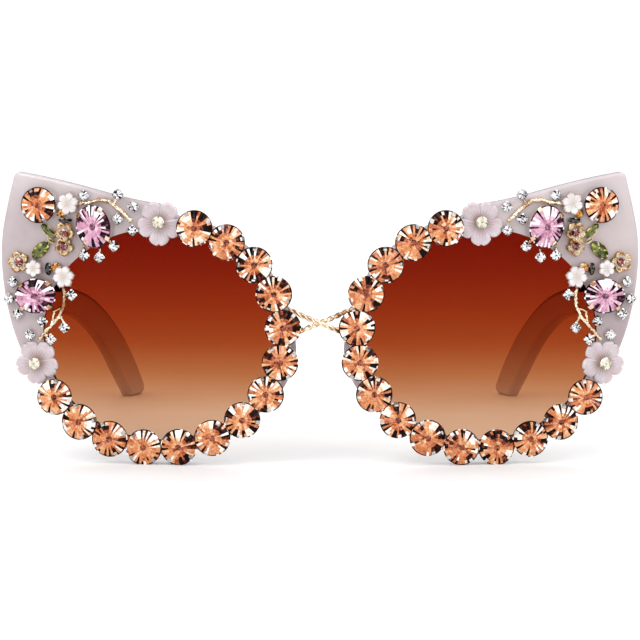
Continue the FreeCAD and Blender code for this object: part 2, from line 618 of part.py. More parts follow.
def ornaments():
    """Every ornament of the +X side, by node name."""
    made = {}
    gem = brilliant(RING_CUT)
    cup = claw_setting(RING_CUT, SETTING_R, SETTING_FOOT_R, CLAW_WIDTH)
    made["rim_crystals"] = at_places(gem, ring_places())
    made["rim_settings"] = at_places(cup, ring_places())

    oval_places = [on_front(*spot) for spot in OVALS]
    made["oval_crystals"] = at_places(stretched(gem, *OVAL_SCALE), oval_places)
    made["oval_settings"] = at_places(stretched(cup, *OVAL_SCALE), oval_places)

    petal_thickness = 1.1
    blossoms = [flower(BLOSSOM_R, petal_thickness, spot, 0.0) for spot in BLOSSOMS]
    made["blossoms"] = Part.makeCompound(blossoms)
    centre_places = [on_front(u, z, 45.0, petal_thickness) for u, z, turn in BLOSSOMS]
    accent_cup = claw_setting(ACCENT_CUT, ACCENT_R, 0.85, 0.5)
    accent_gem = brilliant(ACCENT_CUT)
    made["blossom_centre_cups"] = at_places(accent_cup, centre_places)
    made["blossom_centre_crystals"] = at_places(accent_gem, centre_places)
    made["accent_cups"] = at_places(accent_cup, accent_places())
    made["accent_crystals"] = at_places(accent_gem, accent_places())

    pearls = []
    for u, z, radius, turn in PEARL_FLOWERS:
        post = placed(Part.makeCylinder(0.5, UPPER_LEVEL + 0.2), on_front(u, z))
        pearls.append(fused([flower(radius, 0.6, (u, z, turn), UPPER_LEVEL), post]))
    made["pearl_flowers"] = Part.makeCompound(pearls)

    golds, hearts = [], []
    for u, z, radius, turn, lift in GOLD_FLOWERS:
        bloom = flower(radius, 0.7, (u, z, turn), lift)
        if lift:
            bloom = fused([bloom, placed(Part.makeCylinder(0.5, lift + 0.2), on_front(u, z))])
        golds.append(bloom)
        heart = brilliant(low_cut(radius * 0.42, 0.7))
        hearts.append(placed(heart, on_front(u, z, turn, lift + 0.7)))
    made["gold_flowers"] = Part.makeCompound(golds)
    made["gold_flower_crystals"] = Part.makeCompound(hearts)

    cups, stones = [], []
    for u, z, turn, length, width in LEAVES:
        tray = marquise(length, width, 0.8).cut(
            placed(marquise(length - 0.7, width - 0.5, 1.0), App.Placement(V(0, 0, 0.3), App.Rotation())))
        stone = marquise(length - 0.74, width - 0.54, 0.8, 0.35)
        cups.append(placed(tray, on_front(u, z, turn)))
        stones.append(placed(stone, on_front(u, z, turn, 0.32)))
    made["leaf_settings"] = Part.makeCompound(cups)
    made["leaf_crystals"] = Part.makeCompound(stones)

    amber = []
    for u, z, radius in AMBER:
        stone = brilliant(low_cut(radius, 1.2))
        amber.append(placed(stone, on_front(u, z, 0.0, 0.02)))
    made["amber_crystals"] = Part.makeCompound(amber)
    jets = []
    for u, z, turn, length, width in NAVETTES:
        jets.append(placed(marquise(length, width, 1.1, 0.4), on_front(u, z, turn, 0.02)))
    made["dark_navettes"] = Part.makeCompound(jets)

    made["upper_twig"] = twig(UPPER_TWIG, STEM_ROUTES[:1])
    made["lower_twig"] = twig(LOWER_TWIG, STEM_ROUTES[4:] + [SIDE_TWIG])
    made["wing_stems"] = Part.makeCompound([rod_chain(s, STEM_R, STEM_R * KNOT) for s in STEM_ROUTES[1:4]])
    return made


# ---- Whole object ---------------------------------------------------------------------------
def side_pieces():
    """Every piece of the +X side, by node name."""
    front_rivets = [front_rivet(spot) for spot in FRONT_RIVETS]
    made = {
        "eye_frame": eye_frame(front_rivets),
        "lens": lens(),
        "nose_pad": nose_pad(),
        "front_hinge": front_hinge(),
        "front_hinge_rivets": Part.makeCompound(front_rivets),
        "hinge_screw": hinge_screw(),
        "temple_hinge": temple_hinge(),
        "temple_hinge_rivets": Part.makeCompound([temple_rivet(y) for y in TEMPLE_RIVET_Y]),
        "temple": temple(),
    }
    made.update(ornaments())
    return made


def build():
    """All nodes of the object in their final places, and the positions a record needs."""
    bridge_solid = bridge()
    nodes = {"bridge": bridge_solid}
    for name, shape in side_pieces().items():
        nodes[name + "_left"] = shape
        nodes[name + "_right"] = shape.mirror(V(0, 0, 0), V(1, 0, 0))
    for name in ("eye_frame_left", "eye_frame_right"):
        nodes[name] = nodes[name].cut(bridge_solid)
    box = Part.makeCompound(list(nodes.values())).optimalBoundingBox()
    shift = V(0, -(box.YMin + box.YMax) / 2, 0)
    for shape in nodes.values():
        shape.translate(shift)
    foot = next(f for f in nodes["temple_left"].Faces if f.BoundBox.ZMax < 1e-6)
    places = {
        "shift_y": shift.y,
        "hinge": (HINGE_U, HINGE_Y + shift.y, TEMPLE_AXIS_Z),
        "foot": (foot.CenterOfMass.x, foot.CenterOfMass.y),
        "box": (box.XMin, box.YMin + shift.y, box.ZMin, box.XMax, box.YMax + shift.y, box.ZMax),
    }
    return nodes, places


def main():
    os.makedirs("parts", exist_ok=True)
    nodes, places = build()
    for name, shape in nodes.items():
        bad = [s for s in shape.Solids if not s.isValid() or s.Volume <= 0]
        if bad or not shape.Solids:
            print("check", name, "solids", len(shape.Solids), "bad", len(bad))
        shape.exportStep(f"parts/{name}.step")
    print(len(nodes), "nodes")
    print({k: v if isinstance(v, float) else [round(x, 3) for x in v] for k, v in places.items()})


if __name__ == "__main__":
    main()
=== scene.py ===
"""Looks for the cat eye sunglasses: crystals, flowers, twigs and materials round the CAD frame."""

import math
import random

import bpy
import numpy as np
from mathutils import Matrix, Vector


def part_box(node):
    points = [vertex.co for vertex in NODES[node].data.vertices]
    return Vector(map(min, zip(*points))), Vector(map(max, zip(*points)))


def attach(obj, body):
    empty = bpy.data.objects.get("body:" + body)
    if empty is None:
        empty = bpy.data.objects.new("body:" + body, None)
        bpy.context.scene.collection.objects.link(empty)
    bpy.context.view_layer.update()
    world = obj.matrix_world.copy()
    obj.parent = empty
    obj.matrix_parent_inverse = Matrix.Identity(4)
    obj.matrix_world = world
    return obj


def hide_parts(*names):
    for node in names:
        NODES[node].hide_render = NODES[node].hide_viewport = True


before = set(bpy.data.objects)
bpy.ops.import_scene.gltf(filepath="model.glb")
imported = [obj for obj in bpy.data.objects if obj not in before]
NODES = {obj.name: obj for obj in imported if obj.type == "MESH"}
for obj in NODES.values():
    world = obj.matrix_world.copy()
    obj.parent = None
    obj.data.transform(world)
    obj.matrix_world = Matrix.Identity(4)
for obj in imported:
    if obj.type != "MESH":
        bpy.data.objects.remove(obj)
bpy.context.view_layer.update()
MM = 0.001


# ---- Shader building ------------------------------------------------------------------------
class Shader:
    """A material's node tree, with short calls for the nodes used here."""

    def __init__(self, name, **sockets):
        self.mat = bpy.data.materials.new(name)
        self.mat.use_nodes = True
        self.nodes = self.mat.node_tree.nodes
        self.links = self.mat.node_tree.links
        self.bsdf = self.nodes["Principled BSDF"]
        self.out = self.nodes["Material Output"]
        for key, value in sockets.items():
            self.bsdf.inputs[key.replace("_", " ")].default_value = value

    def node(self, kind, ins=None, **props):
        made = self.nodes.new("ShaderNode" + kind)
        for key, value in props.items():
            setattr(made, key, value)
        for key, value in (ins or {}).items():
            self.put(made, key, value)
        return made

    def put(self, node, key, value):
        if isinstance(value, bpy.types.NodeSocket):
            self.links.new(value, node.inputs[key])
        else:
            node.inputs[key].default_value = value

    def set(self, **sockets):
        for key, value in sockets.items():
            self.put(self.bsdf, key.replace("_", " "), value)

    def axis(self, letter):
        split = self.node("SeparateXYZ", {0: self.node("TexCoord").outputs["Object"]})
        return split.outputs[letter]

    def noise(self, scale, detail=3.0, rough=0.5):
        made = self.node("TexNoise", {"Scale": scale, "Detail": detail, "Roughness": rough})
        self.links.new(self.node("TexCoord").outputs["Object"], made.inputs["Vector"])
        return made.outputs["Fac"]

    def cells(self, scale):
        """One random number per small cell."""
        made = self.node("TexVoronoi", {"Scale": scale})
        self.links.new(self.node("TexCoord").outputs["Object"], made.inputs["Vector"])
        return self.node("SeparateColor", {0: made.outputs["Color"]}).outputs[0]

    def ramp(self, fac, stops):
        made = self.node("ValToRGB", {0: fac})
        elements = made.color_ramp.elements
        while len(elements) < len(stops):
            elements.new(0.5)
        for element, (place, colour) in zip(elements, stops):
            element.position = place
            element.color = (*colour[:3], 1.0)
        return made.outputs["Color"]

    def range(self, value, low, high, to_low=0.0, to_high=1.0):
        ins = {"Value": value, "From Min": low, "From Max": high, "To Min": to_low, "To Max": to_high}
        return self.node("MapRange", ins).outputs[0]

    def math(self, operation, a, b=0.0):
        return self.node("Math", {0: a, 1: b}, operation=operation).outputs[0]

    def mix(self, fac, a, b):
        """Between colour a and colour b; each is a socket or three numbers."""
        made = self.node("Mix", data_type="RGBA")
        for key, value in ((0, fac), (6, a), (7, b)):
            self.put(made, key, (*value, 1.0) if isinstance(value, tuple) else value)
        return made.outputs[2]

    def bump(self, height, strength, distance):
        ins = {"Height": height, "Strength": strength, "Distance": distance}
        self.put(self.bsdf, "Normal", self.node("Bump", ins).outputs[0])


def linear(r, g, b):
    """sRGB 0-255 to linear."""
    return tuple(((c / 255 + 0.055) / 1.055) ** 2.4 if c > 10.3 else c / 3294.6 for c in (r, g, b))


# ---- Materials ------------------------------------------------------------------------------
def milky_plastic(name="milky_plastic", painted_light_gain=0.0):
    """Clouded pink-grey acetate, painted lighter towards the top as if lit from above; gain paints all of
    it lighter towards white, as extra light.
    """
    s = Shader(name, Roughness=0.16, IOR=1.5, Subsurface_Weight=0.2,
               Subsurface_Scale=0.002, Coat_Weight=0.4, Coat_Roughness=0.05)
    s.bsdf.inputs["Subsurface Radius"].default_value = (1.0, 0.7, 0.8)
    cloud = s.noise(42.0, 4.0, 0.55)
    veil = s.noise(160.0, 3.0, 0.6)
    shade = s.ramp(cloud, [(0.3, linear(160, 144, 149)), (0.52, linear(180, 165, 168)),
                           (0.75, linear(192, 181, 181))])
    body = s.mix(s.range(veil, 0.42, 0.7, 0.0, 0.4), shade, linear(186, 166, 164))
    # Painted light: towards the top of the frame the colour is mixed lighter, as if lit from above.
    painted_top_light = s.math("MULTIPLY", s.range(s.axis("Z"), 0.046, 0.068), s.range(cloud, 0.3, 0.7, 0.45, 0.75))
    clouded = s.mix(painted_top_light, body, linear(220, 210, 212))
    # Painted light: the gain mixes the whole plastic towards white, for a copy painted lighter.
    s.set(Base_Color=s.mix(s.range(cloud, 0.0, 1.0, painted_light_gain, painted_light_gain), clouded, linear(234, 220, 222)))
    s.set(Roughness=s.range(s.noise(700.0, 3.0), 0.3, 0.7, 0.12, 0.24))
    s.bump(s.noise(260.0, 2.0), 0.08, 0.0004)
    return s.mat


def lens_tint(low, high):
    """Transparent sheet, tinted from dark red-brown at the top to pale peach at the bottom."""
    s = Shader("lens_gradient", Roughness=0.03, IOR=1.5, Coat_Weight=0.0)
    height = s.range(s.axis("Z"), low, high)
    drift = s.range(s.noise(18.0, 2.0), 0.3, 0.7, -0.012, 0.012)
    seen = [(0.00, (210, 170, 142)), (0.14, (198, 154, 122)), (0.32, (168, 100, 60)), (0.47, (148, 62, 26)),
            (0.62, (135, 43, 14)), (0.80, (119, 26, 8)), (1.00, (105, 14, 4))]
    # Light crosses two faces of the sheet, so each takes the square root of the tint.
    halves = [(place, tuple(math.sqrt(c) for c in linear(*colour))) for place, colour in seen]
    tint = s.ramp(s.math("ADD", height, drift), halves)
    clear = s.node("BsdfTransparent", {"Color": tint})
    s.bsdf.inputs["Base Color"].default_value = (0.01, 0.004, 0.003, 1.0)
    fresnel = s.node("Fresnel", {"IOR": 1.42})
    shine = s.range(fresnel.outputs[0], 0.0, 1.0, 0.0, 0.9)
    sheet = s.node("MixShader", {0: shine, 1: clear.outputs[0], 2: s.bsdf.outputs[0]})
    s.links.new(sheet.outputs[0], s.out.inputs["Surface"])
    return s.mat


def metal(name, deep, bright, rough, grain=900.0, bump=0.15):
    """Polished metal with slow patches of two tones and fine wear."""
    s = Shader(name, Metallic=1.0, Roughness=rough)
    wear = s.noise(grain, 4.0, 0.6)
    patches = s.noise(grain / 5, 2.0, 0.5)
    s.set(Base_Color=s.ramp(patches, [(0.35, deep), (0.6, bright)]))
    s.set(Roughness=s.range(wear, 0.3, 0.7, rough * 0.7, rough * 1.5))
    s.bump(wear, bump, 0.0002)
    return s.mat


def crystal(name, stops):
    """Foil-backed cut glass: every facet's colour is painted light or shade, as its reflections would give
    it.
    """
    s = Shader(name, IOR=1.55, Coat_Roughness=0.03)
    tone = s.node("Attribute", attribute_name="tone").outputs["Fac"]
    # Fine noise shifts the painted facet light and the roughness; small random cells add painted sparkle.
    depth = s.noise(2600.0, 2.0, 0.5)
    painted_sparkle = s.range(s.cells(1700.0), 0.0, 1.0, -0.11, 0.11)
    painted_light_level = s.math("ADD", s.math("ADD", tone, s.range(depth, 0.3, 0.7, -0.08, 0.08)), painted_sparkle)
    s.set(Base_Color=s.ramp(painted_light_level, stops), Roughness=s.range(depth, 0.3, 0.7, 0.048, 0.12))
    s.set(Coat_Weight=s.range(painted_light_level, 0.1, 0.6, 0.0, 0.7))
    s.set(Specular_IOR_Level=s.range(painted_light_level, 0.1, 0.5, 0.06, 0.5))
    return s.mat


def pearl(name, body, vein, glow, edge, edge_from=0.9):
    """Mother of pearl: radial veins from the flower's heart, slow clouds and a tinted edge."""
    s = Shader(name, Roughness=0.22, IOR=1.55, Coat_Weight=0.4, Coat_Roughness=0.1,
               Subsurface_Weight=0.2, Subsurface_Scale=0.0015)
    reach = s.node("Attribute", attribute_name="reach").outputs["Fac"]
    vein_line = s.node("Attribute", attribute_name="vein").outputs["Fac"]
    cloud = s.noise(330.0, 3.0, 0.6)
    base = s.mix(s.range(cloud, 0.35, 0.7), body, glow)
    near = s.range(reach, 0.12, 0.7, 1.0, 0.0)
    warm = s.mix(s.range(reach, 0.1, 0.6, 0.5, 0.0), base, vein)
    lined = s.mix(s.math("MULTIPLY", near, vein_line), warm, vein)
    rim = s.range(s.math("ADD", reach, s.range(cloud, 0.3, 0.7, -0.04, 0.04)), edge_from, 1.0, 0.0, 0.8)
    s.set(Base_Color=s.mix(rim, lined, edge), Roughness=s.range(cloud, 0.3, 0.7, 0.16, 0.3))
    s.bump(s.noise(900.0, 2.0), 0.1, 0.0002)
    return s.mat


def enamel_cup():
    """Gold petals with a cream and brown enamelled inside, and painted shade: dark radial lines standing
    for the gaps between them.
    """
    s = Shader("enamel_cup", Coat_Weight=0.4, Coat_Roughness=0.05)
    reach = s.node("Attribute", attribute_name="reach").outputs["Fac"]
    vein_line = s.node("Attribute", attribute_name="vein").outputs["Fac"]
    cloud = s.noise(700.0, 3.0, 0.6)
    inside = s.ramp(cloud, [(0.38, linear(110, 44, 24)), (0.47, linear(226, 186, 148)),
                            (0.56, linear(244, 232, 218))])
    # Painted shade: dark radial lines, stronger towards the heart, for the shade in the gaps between
    # petals.
    painted_gap_shade = s.range(vein_line, 0.4, 0.75)
    inside = s.mix(s.math("MULTIPLY", painted_gap_shade, s.range(reach, 0.15, 0.9, 1.0, 0.7)), inside, linear(40, 18, 8))
    gold = s.ramp(s.noise(900.0, 2.0), [(0.35, linear(150, 96, 40)), (0.6, linear(236, 206, 150))])
    metal_part = s.range(s.math("ADD", reach, s.range(cloud, 0.3, 0.7, -0.1, 0.1)), 0.72, 0.8)
    s.set(Base_Color=s.mix(metal_part, inside, gold), Metallic=metal_part)
    s.set(Roughness=s.range(s.noise(1500.0, 2.0), 0.3, 0.7, 0.1, 0.25))
    return s.mat


def floor_paper():
    """Plain white paper."""
    s = Shader("floor_paper", Roughness=0.9)
    s.set(Base_Color=s.ramp(s.noise(60.0, 3.0), [(0.3, (0.93, 0.93, 0.93)), (0.7, (0.96, 0.96, 0.96))]))
    return s.mat


GOLD_DEEP, GOLD_BRIGHT = linear(168, 118, 78), linear(252, 230, 200)
# Facet ramps of the crystals: the dark ends are painted shade and the near-white ends painted glints; the
# middle is the glass's own colour.
CREAM_STOPS = [(0.0, linear(96, 88, 70)), (0.3, linear(196, 188, 160)), (0.6, linear(232, 230, 212)),
               (1.0, linear(255, 255, 248))]
PEACH_STOPS = [(0.00, linear(20, 5, 4)), (0.13, linear(58, 18, 10)), (0.28, linear(148, 60, 22)),
               (0.48, linear(204, 114, 56)), (0.66, linear(224, 154, 96)), (0.82, linear(238, 198, 152)),
               (1.00, linear(255, 250, 244))]
PINK_STOPS = [(0.00, linear(20, 8, 14)), (0.18, linear(92, 44, 66)), (0.40, linear(184, 122, 150)),
              (0.62, linear(212, 156, 184)), (0.84, linear(232, 200, 216)), (1.00, linear(255, 248, 252))]
CLEAR_STOPS = [(0.00, linear(6, 6, 8)), (0.22, linear(60, 58, 64)), (0.42, linear(196, 194, 198)),
               (0.60, linear(240, 240, 243)), (1.00, linear(255, 255, 255))]
GARNET_STOPS = [(0.0, linear(20, 3, 3)), (0.4, linear(104, 18, 10)), (0.75, linear(176, 60, 34)),
                (1.0, linear(255, 226, 205))]
AMBER_STOPS = [(0.0, linear(70, 28, 2)), (0.45, linear(196, 116, 14)), (0.8, linear(236, 176, 50)),
               (1.0, linear(255, 244, 200))]
DARK_STOPS = [(0.0, linear(5, 4, 4)), (0.6, linear(26, 18, 14)), (0.9, linear(104, 80, 60)),
              (1.0, linear(240, 226, 210))]
OLIVE_STOPS = [(0.0, linear(18, 20, 2)), (0.35, linear(64, 68, 8)), (0.7, linear(112, 116, 16)),
               (0.9, linear(172, 176, 50)), (1.0, linear(240, 240, 180))]

MILKY = milky_plastic()
# The temples: the same plastic painted lighter, standing in for more light falling on them.
LIGHTENED_TEMPLE_PLASTIC = milky_plastic("temple_plastic_painted_lighter", 0.4)
GOLD = metal("rose_gold", GOLD_DEEP, GOLD_BRIGHT, 0.12)
SILVER = metal("claw_silver", linear(150, 144, 142), linear(246, 242, 240), 0.08)
HINGE = metal("hinge_gilt", linear(176, 128, 70), linear(220, 176, 112), 0.26, 1400.0, 0.2)
STEEL = metal("screw_steel", linear(150, 148, 146), linear(205, 203, 200), 0.24, 1600.0, 0.2)
PEACH = crystal("peach_glass", PEACH_STOPS)
PINK = crystal("pink_glass", PINK_STOPS)
CLEAR = crystal("clear_glass", CLEAR_STOPS)
CREAM = crystal("cream_glass", CREAM_STOPS)
GARNET = crystal("garnet_glass", GARNET_STOPS)
AMBER = crystal("amber_glass", AMBER_STOPS)
DARK = crystal("jet_glass", DARK_STOPS)
OLIVE = crystal("olive_glass", OLIVE_STOPS)
PEARL = pearl("pink_pearl", linear(192, 176, 180), linear(140, 100, 88), linear(206, 194, 200),
              linear(228, 220, 224))
LIGHT_PEARL = pearl("white_pearl", linear(214, 208, 210), linear(196, 176, 160), linear(236, 234, 236),
                    linear(150, 108, 70), 0.8)
ENAMEL = enamel_cup()


# ---- Seats: where each solid of a CAD node sits on the curved front --------------------------
class Seat:
    """Local frame of one solid: x along its longest way, z out of the front, foot at z = 0."""

    def __init__(self, points, triangles):
        edge_a = points[triangles[:, 1]] - points[triangles[:, 0]]
        edge_b = points[triangles[:, 2]] - points[triangles[:, 0]]
        cross = np.cross(edge_a, edge_b)
        areas = np.linalg.norm(cross, axis=1) / 2
        normals = cross / np.maximum(areas[:, None] * 2, 1e-20)
        flat = {}
        for normal, area in zip(normals, areas):
            if normal[1] < -0.9:
                key = tuple(np.round(normal, 3))
                flat[key] = flat.get(key, 0.0) + area
        self.z = np.array(max(flat, key=flat.get))
        self.z /= np.linalg.norm(self.z)
        centre = (points.min(0) + points.max(0)) / 2
        across = points - centre
        across -= np.outer(across @ self.z, self.z)
        self.radius = float(np.linalg.norm(across, axis=1).max())
        spread = np.linalg.eigh(across.T @ across)[1][:, -1]
        far = across[np.argmax(np.linalg.norm(across, axis=1) + 1e-3 * (across @ spread))]
        self.x = far / np.linalg.norm(far)
        if self.x[2] < 0:
            self.x = -self.x
        self.y = np.cross(self.z, self.x)
        heights = points @ self.z
        self.height = float(heights.max() - heights.min())
        self.foot = centre + self.z * (heights.min() - centre @ self.z)
        self.half_x = float(np.abs(across @ self.x).max())
        self.half_y = float(np.abs(across @ self.y).max())

    def matrix(self, turn=0.0, lift=0.0):
        c, s = math.cos(turn), math.sin(turn)
        x = self.x * c + self.y * s
        y = self.y * c - self.x * s
        made = np.eye(4)
        made[:3, 0], made[:3, 1], made[:3, 2], made[:3, 3] = x, y, self.z, self.foot + self.z * lift
        return made


def seats(node):
    """A Seat for each separate solid of a CAD node, in a steady order."""
    mesh = NODES[node].data
    points = np.array([v.co for v in mesh.vertices], float)
    keys, joined = {}, []
    for p in points:
        joined.append(keys.setdefault(tuple(np.round(p, 6)), len(keys)))
    parent = list(range(len(keys)))

    def root(i):
        while parent[i] != i:
            parent[i] = parent[parent[i]]
            i = parent[i]
        return i

    for polygon in mesh.polygons:
        first = root(joined[polygon.vertices[0]])
        for v in polygon.vertices[1:]:
            parent[root(joined[v])] = first
    mesh.calc_loop_triangles()
    groups = {}
    for triangle in mesh.loop_triangles:
        groups.setdefault(root(joined[triangle.vertices[0]]), []).append(tuple(triangle.vertices))
    made = []
    for triangles in groups.values():
        triangles = np.array(triangles)
        used, flat = np.unique(triangles, return_inverse=True)
        made.append(Seat(points[used], flat.reshape(triangles.shape)))
    made.sort(key=lambda seat: (round(seat.foot[2], 4), round(abs(seat.foot[0]), 4)))
    return made


# ---- Mesh building --------------------------------------------------------------------------
class Builder:
    """Collects vertices and faces of one piece, with numbers kept per face or per point."""

    def __init__(self, *attributes):
        self.points, self.faces = [], []
        self.values = {name: [] for name in attributes}

    def add(self, points, faces, matrix, **values):
        start = len(self.points)
        local = np.c_[np.array(points, float), np.ones(len(points))]
        self.points.extend((local @ np.array(matrix).T)[:, :3].tolist())
        self.faces.extend([[start + i for i in face] for face in faces])
        for name, kept in self.values.items():
            kept.extend(values[name])

    def piece(self, name, body, replaced, material, smooth=False, domain="FACE"):
        """The collected mesh as one object that rides on body and stands for the node replaced."""
        mesh = bpy.data.meshes.new(name)
        mesh.from_pydata(self.points, [], self.faces)
        mesh.update()
        mesh.materials.append(material)
        mesh.polygons.foreach_set("use_smooth", [smooth] * len(self.faces))
        for key, values in self.values.items():
            attribute = mesh.attributes.new(key, "FLOAT", domain)
            attribute.data.foreach_set("value", np.array(values, np.float32))
        made = bpy.data.objects.new(name, mesh)
        bpy.context.scene.collection.objects.link(made)
        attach(made, body)
        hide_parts(replaced)


RAYS_PER_SIDE = 5       # narrow facets for each side of a stone
# Painted shade: the girdle band and the cone behind it are given this nearly black value.
PAINTED_BACK_SHADE = 0.06        # the cone behind the girdle is nearly black
GIRDLE = 0.62           # height of the widest ring, as a share of the stone's height


def ring(radius, count, z):
    turn = [2 * math.pi * k / count for k in range(count)]
    return [(radius * math.cos(a), radius * math.sin(a), z) for a in turn]


def cut_stone(rng, half_x, half_y, girdle, top, sides, contrast, light):
    """Faceted stone seen from the front: narrow facets fan out from a heart painted dark as shade.

    Returns points, faces and one painted light or shade value per face, as the facets' reflections would
    give it. The rings run from the heart outwards, and light is the local direction of the side painted
    with the sharpest sparkle, as if lit from there. The foot is at z = 0, girdle and top are the heights of
    the widest ring and of the front.
    """
    n = RAYS_PER_SIDE * sides
    sink, rise = (top - girdle) * 0.22, top - girdle
    radii = (0.17, 0.34, 0.54, 0.76, 0.94)
    heights = (top - sink, top - sink * 0.5, top, girdle + rise * 0.62, girdle + rise * 0.14)
    points = [(0.0, 0.0, top - sink * 0.6)]
    for radius, height in zip(radii, heights):
        for k, (x, y, z) in enumerate(ring(radius, n, height)):
            points.append((x, y, z - rise * 0.07 * (k % 2)))
    points.extend(ring(1.0, n, girdle))
    points.extend(ring(1.0, n, girdle - 0.08 * MM))
    points.append((0.0, 0.0, 0.0))

    def at(k, i):
        return 1 + k * n + i % n

    # Painted reflections: each facet is drawn dark, as a bright glint, or as a middle value.
    def draw(dark, bright):
        pick = rng.random()
        if pick < dark:
            return rng.uniform(-0.1, 0.15)
        return rng.uniform(0.86, 1.15) if pick > 1 - bright else rng.uniform(0.38, 0.70)

    faces, tones = [], []
    petal, ray = 0.5, 0.5
    for i in range(n):
        # lean: how far this ray faces the side of the painted light.
        lean = 0.5 + 0.5 * math.cos(2 * math.pi * (i + 0.5) / n - light)
        if i % RAYS_PER_SIDE == 0:
            petal = rng.uniform(0.30, 0.72)
        if i == 0 or rng.random() < 0.82:
            ray = draw(0.30 + 0.12 * lean, 0.10 + 0.22 * lean)
        outer = ray if rng.random() < 0.75 else draw(0.3, 0.3)
        # The heart is painted darker, as shade.
        faces.append((0, at(0, i), at(0, i + 1)))
        tones.append(rng.uniform(0.12, 0.38))
        # Painted light and shade per ring, from the heart out: the petal, rays brighter towards the painted
        # light, the outer rays, a rim painted dark with a few glints, and the painted dark girdle band.
        bands = [
            petal + rng.uniform(-0.07, 0.07),
            0.5 + contrast * (0.55 + 0.35 * lean) * ((ray + petal) / 2 - 0.48),
            0.5 + contrast * (ray - 0.5),
            0.5 + contrast * (outer - 0.5),
            rng.uniform(0.85, 1.1) if rng.random() < 0.14 else rng.uniform(-0.15, 0.2),
            PAINTED_BACK_SHADE,
        ]
        for k, tone in enumerate(bands):
            faces.append((at(k, i), at(k + 1, i), at(k + 1, i + 1), at(k, i + 1)))
            tones.append(tone)
        faces.append((at(6, i), len(points) - 1, at(6, i + 1)))
        tones.append(PAINTED_BACK_SHADE)
    shaped = [(x * half_x, y * half_y, z) for x, y, z in points]
    return shaped, faces, tones


def stones(name, node, slot, material, seed, sides=8, contrast=1.0, size=1.0):
    """Cut stones in the seats of a CAD node, standing for that node."""
    build = Builder("tone")
    for k, seat in enumerate(seats(node)):
        rng = random.Random(seed * 1000 + k)
        turn = rng.uniform(0, 0.25) if seat.half_y > seat.half_x * 0.95 else 0.0
        matrix = seat.matrix(turn)
        # The sharpest painted sparkle goes on the side facing the upper right, as if lit from there.
        painted_light_from = np.array((0.7, 0.0, 0.7))
        light = math.atan2(float(painted_light_from @ matrix[:3, 1]), float(painted_light_from @ matrix[:3, 0]))
        points, faces, tones = cut_stone(rng, seat.half_x * size, seat.half_y * size,
                                         seat.height * GIRDLE, seat.height, sides, contrast, light)
        build.add(points, faces, matrix, tone=tones)
    build.piece(name, "front", node, material)


def flower_mesh(radius, thickness, petals, notch, cup, depth, rings_count=12, steps=24):
    """Closed petal plate: points, faces, and per point how far out it is and how near a vein."""
    around = petals * steps
    points, reach, vein = [], [], []

    def outline(a):
        phase = (a * petals / (2 * math.pi)) % 1.0      # 0 and 1 are valleys, 0.5 a petal's tip
        bulge = math.sin(math.pi * phase) ** 0.5
        dent = max(0.0, 1.0 - abs(phase - 0.5) / 0.06)
        return radius * (1.0 - depth + depth * bulge) * (1.0 - notch * dent)

    def top_height(a, f):
        phase = (a * petals / (2 * math.pi)) % 1.0
        valley = 1.0 - math.sin(math.pi * phase) ** 0.5
        crease = math.exp(-((phase - 0.5) / 0.05) ** 2)
        rise = thickness * (0.62 + cup * f * f - 0.42 * valley ** 2 * f - 0.07 * crease * f)
        edge = max(0.0, (f - 0.86) / 0.14)
        return rise - thickness * 0.38 * edge ** 2

    for side in (1, 0):
        points.append((0.0, 0.0, thickness * 0.62 if side else 0.0))
        reach.append(0.0)
        vein.append(0.0)
        for j in range(1, rings_count + 1):
            f = j / rings_count
            for k in range(around):
                a = 2 * math.pi * k / around
                r = outline(a) * f
                points.append((r * math.cos(a), r * math.sin(a), top_height(a, f) if side else 0.0))
                reach.append(f)
                phase = (a * petals / (2 * math.pi)) % 1.0
                vein.append(0.5 + 0.5 * math.cos(2 * math.pi * phase * 5))
    faces = []
    size = 1 + rings_count * around
    for side in (0, 1):
        base = side * size

        def at(j, k):
            return base + 1 + (j - 1) * around + k % around

        for k in range(around):
            tri = (base, at(1, k), at(1, k + 1))
            faces.append(tri if side == 0 else tri[::-1])
            for j in range(1, rings_count):
                quad = (at(j, k), at(j + 1, k), at(j + 1, k + 1), at(j, k + 1))
                faces.append(quad if side == 0 else quad[::-1])
    last = 1 + (rings_count - 1) * around
    for k in range(around):
        a, b = last + k, last + (k + 1) % around
        faces.append((a, size + a, size + b, b))
    return points, faces, reach, vein


def flowers(name, node, slot, material, petals=5, notch=0.09, cup=0.25, depth=0.28, plate=1.1, tall=1.0):
    """Petal plates in the seats of a CAD node; the seat's x runs through a petal's tip.

    notch, cup and depth shape the petals; plate is the plate's thickness in millimetres, and
    tall stretches it.
    """
    build = Builder("reach", "vein")
    for seat in seats(node):
        foot = max(0.0, seat.height - plate * MM) if seat.height > (plate + 0.2) * MM else 0.0
        thickness = (seat.height - foot) * tall
        points, faces, reach, vein = flower_mesh(seat.radius, thickness, petals, notch, cup, depth)
        build.add(points, faces, seat.matrix(-math.pi / petals, foot), reach=reach, vein=vein)
    build.piece(name, "front", node, material, smooth=True, domain="POINT")


STRAND_R = 0.36 * MM
STRAND_ORBIT = 0.33 * MM        # from the wire's middle to each strand's
STRAND_PITCH = 3.4 * MM         # along the wire for one turn
STRAND_STEPS = 60               # points on each side of the crossing
WIRE_PARTING = 0.3 * MM         # each wire passes this far before or behind the other
WIRE_SAG = 0.25 * MM


